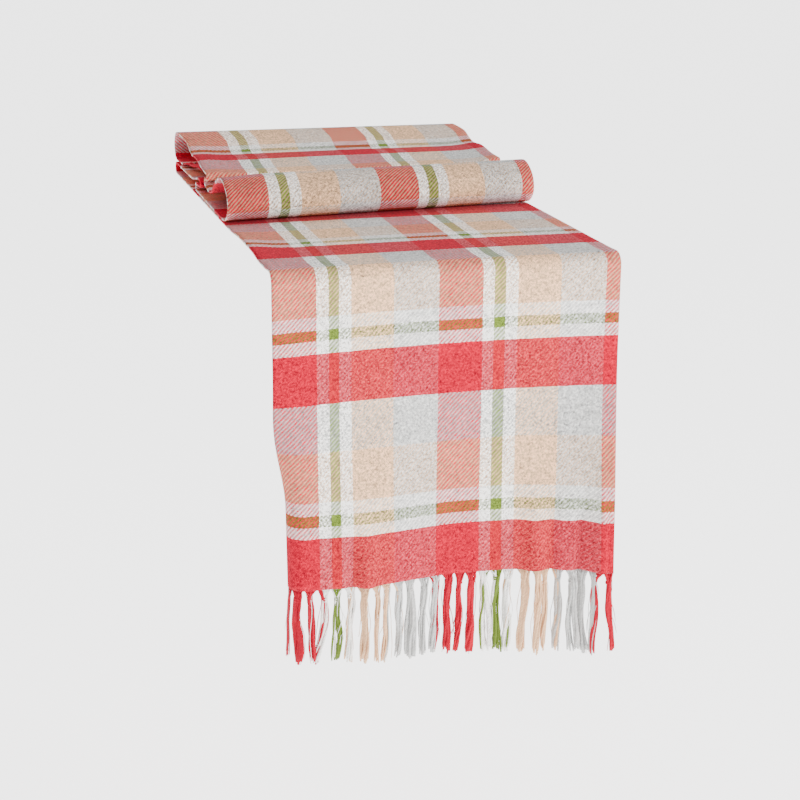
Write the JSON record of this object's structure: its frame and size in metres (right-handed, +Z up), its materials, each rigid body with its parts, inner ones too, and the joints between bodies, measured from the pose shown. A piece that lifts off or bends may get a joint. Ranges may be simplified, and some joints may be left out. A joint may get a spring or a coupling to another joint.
{
  "type": "table runner",
  "caption": "Woven plaid table runner with knotted tassel fringe, one end hanging over a table edge and the rest folded back on itself in an S.",
  "frame": {"origin": "On the table top under the bottom layer, on the runner's middle line, 25 mm behind the table's front edge.", "axes": "+X across the runner to the right as seen from the front, +Y back over the table, +Z up."},
  "size_m": [0.3959, 0.6567, 0.4383],
  "materials": {
    "plaid_cloth": "woven twill, matt",
    "red_yarn": "twisted yarn, matt",
    "white_yarn": "twisted yarn, matt",
    "green_yarn": "twisted yarn, matt",
    "beige_yarn": "twisted yarn, matt",
    "grey_yarn": "twisted yarn, matt"
  },
  "bodies": {
    "bottom": {"cloth_bottom_layer": "plaid_cloth"},
    "folded": {"cloth_folded_part": "plaid_cloth", "rear_tassel_01": "red_yarn", "rear_tassel_02": "red_yarn", "rear_tassel_03": "red_yarn", "rear_tassel_04": "white_yarn", "rear_tassel_05": "green_yarn", "rear_tassel_06": "white_yarn", "rear_tassel_07": "beige_yarn", "rear_tassel_08": "beige_yarn", "rear_tassel_09": "beige_yarn", "rear_tassel_10": "grey_yarn", "rear_tassel_11": "grey_yarn", "rear_tassel_12": "grey_yarn", "rear_tassel_13": "grey_yarn", "rear_tassel_14": "red_yarn", "rear_tassel_15": "red_yarn", "rear_tassel_16": "red_yarn", "rear_tassel_17": "white_yarn", "rear_tassel_18": "green_yarn", "rear_tassel_19": "white_yarn", "rear_tassel_20": "beige_yarn", "rear_tassel_21": "beige_yarn", "rear_tassel_22": "beige_yarn", "rear_tassel_23": "grey_yarn", "rear_tassel_24": "grey_yarn", "rear_tassel_25": "grey_yarn", "rear_tassel_26": "grey_yarn", "rear_tassel_27": "red_yarn"},
    "drop": {"cloth_drop": "plaid_cloth"},
    "front_fringe": {"front_tassel_01": "red_yarn", "front_tassel_02": "red_yarn", "front_tassel_03": "red_yarn", "front_tassel_04": "white_yarn", "front_tassel_05": "green_yarn", "front_tassel_06": "white_yarn", "front_tassel_07": "beige_yarn", "front_tassel_08": "beige_yarn", "front_tassel_09": "beige_yarn", "front_tassel_10": "grey_yarn", "front_tassel_11": "grey_yarn", "front_tassel_12": "grey_yarn", "front_tassel_13": "grey_yarn", "front_tassel_14": "red_yarn", "front_tassel_15": "red_yarn", "front_tassel_16": "red_yarn", "front_tassel_17": "white_yarn", "front_tassel_18": "green_yarn", "front_tassel_19": "white_yarn", "front_tassel_20": "beige_yarn", "front_tassel_21": "beige_yarn", "front_tassel_22": "beige_yarn", "front_tassel_23": "grey_yarn", "front_tassel_24": "grey_yarn", "front_tassel_25": "grey_yarn", "front_tassel_26": "grey_yarn", "front_tassel_27": "red_yarn"}
  },
  "joints": [
    {"name": "drop_swing", "type": "hinge", "parent": "bottom", "child": "drop", "pos_m": [0, -0.027, -0.0112], "axis": [-1, 0, 0], "range_deg": [0, 60]},
    {"name": "fold_open", "type": "hinge", "parent": "bottom", "child": "folded", "pos_m": [0, 0.579, 0.0072], "axis": [-1, 0, 0], "range_deg": [0, 40]},
    {"name": "fringe_swing", "type": "hinge", "parent": "drop", "child": "front_fringe", "pos_m": [0, -0.05, -0.31475], "axis": [-0.9941, 0.1081, 0], "range_deg": [-20, 25]}
  ]
}
